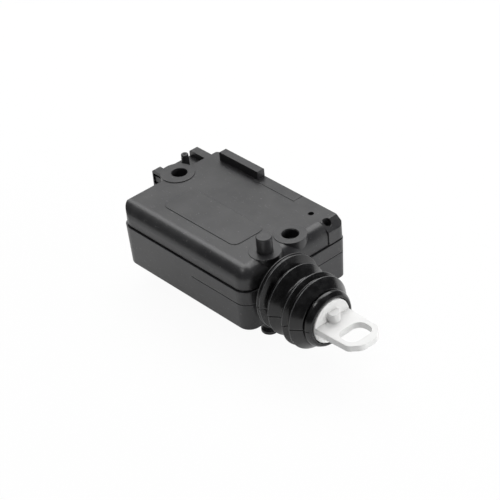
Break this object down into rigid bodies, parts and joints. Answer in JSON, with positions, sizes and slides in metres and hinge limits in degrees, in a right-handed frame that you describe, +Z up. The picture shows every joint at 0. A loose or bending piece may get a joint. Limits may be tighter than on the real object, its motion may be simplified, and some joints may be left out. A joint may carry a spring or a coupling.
{
  "type": "door latch actuator",
  "caption": "Plunger actuator for a vehicle door latch: motor, gears and rack in a closed two-shell casing, eyed plunger in a rubber bellows.",
  "frame": {"origin": "on the front screw hole's axis, at the height of the plunger's axis", "axes": "+X the way the plunger comes out, +Z up out of the cover, +Y towards the side with the tall rib"},
  "size_m": [0.1236, 0.0492, 0.0413],
  "materials": {
    "casing_plastic": "fine moulded texture, glass-filled, near black",
    "bellows_rubber": "satin moulded rubber",
    "seal_rubber": "matt rubber",
    "white_acetal": "smooth moulded acetal",
    "gear_acetal": "natural acetal",
    "steel": "ground",
    "motor_steel": "zinc plated drawn sheet",
    "motor_plastic": "moulded nylon",
    "core_steel": "stacked sheet",
    "ferrite": "sintered",
    "bronze": "sintered, oiled",
    "brass": "turned or stamped",
    "copper": "enamelled wire and copper bars",
    "tinned_brass": "tinned strip"
  },
  "bodies": {
    "housing": {"lower_shell": "casing_plastic", "upper_shell": "casing_plastic", "shell_seal": "seal_rubber", "bellows": "bellows_rubber", "front_buffer": "seal_rubber", "rear_buffer": "seal_rubber", "first_axle": "steel", "second_axle": "steel", "motor_can": "motor_steel", "motor_end_cap": "motor_plastic", "motor_drive_bush": "bronze", "motor_cap_bush": "bronze", "motor_magnets": "ferrite", "motor_brushes": "brass", "motor_tabs": "brass", "near_terminal": "tinned_brass", "far_terminal": "tinned_brass"},
    "plunger": {"plunger": "white_acetal", "drive_rack": "gear_acetal"},
    "motor_rotor": {"motor_shaft": "steel", "motor_pinion": "brass", "motor_armature": "core_steel", "motor_windings": "copper", "motor_commutator": "copper"},
    "first_gear": {"first_gear": "gear_acetal"},
    "second_gear": {"second_gear": "gear_acetal"}
  },
  "joints": [
    {"name": "motor_spin", "type": "hinge", "parent": "housing", "child": "motor_rotor", "pos_m": [-0.04493, 0, 0.0012], "axis": [0, -1, 0], "range_deg": [-2444, 488]},
    {"name": "plunger_slide", "type": "slide", "parent": "housing", "child": "plunger", "axis": [1, 0, 0], "range_m": [-0.015, 0.003], "deforming": ["bellows"]},
    {"name": "first_gear_spin", "type": "hinge", "parent": "housing", "child": "first_gear", "pos_m": [-0.03503, 0, 0.0026], "axis": [0, -1, 0], "range_deg": [-122, 611]},
    {"name": "second_gear_spin", "type": "hinge", "parent": "housing", "child": "second_gear", "pos_m": [-0.0247, 0, 0.0007], "axis": [0, -1, 0], "range_deg": [-191, 38.2]}
  ],
  "couplings": [
    {"joint": "plunger_slide", "follows": "motor_spin", "m_per_rad": 0.00035156},
    {"joint": "first_gear_spin", "follows": "motor_spin", "ratio": -0.25},
    {"joint": "second_gear_spin", "follows": "motor_spin", "ratio": 0.078125}
  ]
}
